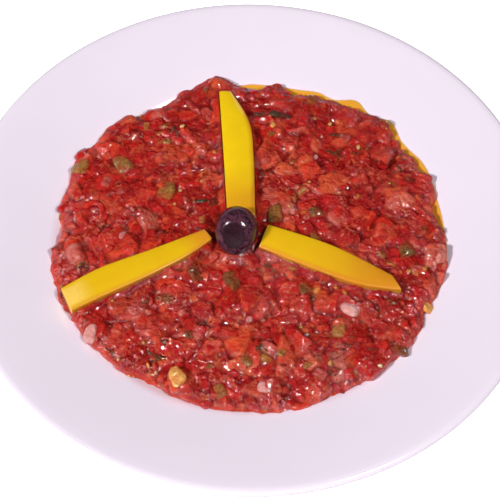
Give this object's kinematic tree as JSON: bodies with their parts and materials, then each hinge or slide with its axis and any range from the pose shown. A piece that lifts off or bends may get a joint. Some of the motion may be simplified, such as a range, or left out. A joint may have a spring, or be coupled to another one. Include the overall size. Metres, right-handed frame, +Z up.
{
  "type": "ezme spread on a plate",
  "caption": "Ezme, a spread of finely chopped tomato, pepper, onion and herbs, on a wide-rimmed round white plate, with strips of yellow pepper and a black olive on top.",
  "frame": {"origin": "on the table under the middle of the plate's foot", "axes": "+Z up; -Y is the diner's side, towards which the olive's dished end leans"},
  "size_m": [0.2598, 0.2598, 0.0382],
  "materials": {
    "plate": "glazed white porcelain, a little lilac",
    "ezme": "wet chopped tomato pulp",
    "oil_pool": "clear amber oil and juice",
    "pepper_strip_back": "waxy yellow pepper skin",
    "pepper_strip_left": "waxy yellow pepper skin",
    "pepper_strip_right": "waxy yellow pepper skin",
    "olive": "smooth wet black olive skin"
  },
  "bodies": {
    "root": {"plate": "plate", "ezme": "ezme", "oil_pool": "oil_pool", "pepper_strip_back": "pepper_strip_back", "pepper_strip_left": "pepper_strip_left", "pepper_strip_right": "pepper_strip_right", "olive": "olive"}
  },
  "joints": []
}
